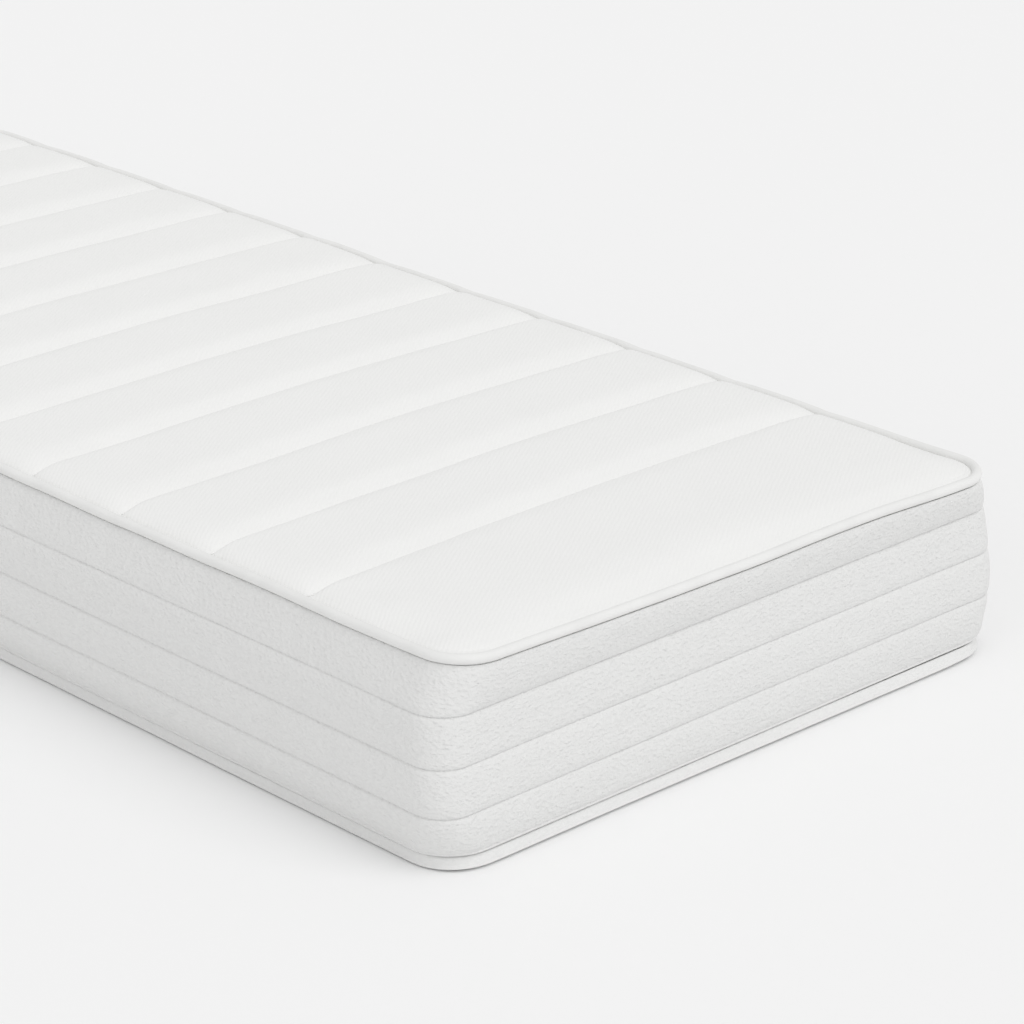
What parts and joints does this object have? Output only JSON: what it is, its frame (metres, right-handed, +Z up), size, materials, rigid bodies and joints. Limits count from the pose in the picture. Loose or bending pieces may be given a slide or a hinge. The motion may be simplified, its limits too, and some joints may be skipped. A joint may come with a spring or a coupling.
{
  "type": "memory foam mattress",
  "caption": "Off-white single foam mattress with a cross-channel quilted top, round piping, a quilted side border and a zip-off cover with a low band at its foot.",
  "frame": {"origin": "centre of the underside, on the floor", "axes": "+X across the width, +Y along the length towards the head end, +Z up"},
  "size_m": [0.9252, 2.0252, 0.2555],
  "materials": {
    "foam_base": "open-cell foam, plain white",
    "foam_comfort": "open-cell foam, pale blue-grey",
    "foam_memory": "dense open-cell foam, cream",
    "sleeve_knit": "thin plain knit",
    "underside_cloth": "matt non-slip cloth",
    "band_cloth": "matt crepe",
    "thread": "twisted thread",
    "zip_tape": "woven tape",
    "zip_coil": "nylon coil",
    "zip_metal": "white lacquer",
    "border_knit": "off-white pebbled knit",
    "wadding": "fibre fill",
    "backing": "thin spunbond",
    "label_cloth": "blank satin tape",
    "piping_cloth": "smooth off-white knit",
    "cord_core": "soft braided filler",
    "top_knit": "off-white fine twill knit"
  },
  "bodies": {
    "mattress": {"support_foam_core": "foam_base", "comfort_foam_layer": "foam_comfort", "memory_foam_layer": "foam_memory", "inner_sleeve": "sleeve_knit", "bottom_panel": "underside_cloth", "bottom_band": "band_cloth", "bottom_band_thread": "thread", "zip_tape_lower": "zip_tape", "zip_tape_upper": "zip_tape", "zip_coil_lower": "zip_coil", "zip_coil_upper": "zip_coil", "zip_end_stops": "zip_metal", "border_ticking": "border_knit", "border_wadding": "wadding", "border_backing": "backing", "border_quilt_threads": "thread", "care_label": "label_cloth", "piping_cover": "piping_cloth", "piping_cord": "cord_core", "piping_seam_thread": "thread", "top_ticking": "top_knit", "top_wadding": "wadding", "top_backing": "backing", "top_quilt_threads": "thread"},
    "zip_slider_body": {"zip_slider": "zip_metal"},
    "zip_pull_body": {"zip_pull_tab": "zip_metal"}
  },
  "joints": [
    {"name": "zip_slide", "type": "slide", "parent": "mattress", "child": "zip_slider_body", "axis": [0, -1, 0], "range_m": [0, 1.76], "deforming": ["zip_coil_lower", "zip_coil_upper"]},
    {"name": "pull_swing", "type": "hinge", "parent": "zip_slider_body", "child": "zip_pull_body", "pos_m": [0.4536, 0.86, 0.017], "axis": [0, 0, 1], "range_deg": [0, 180]}
  ]
}
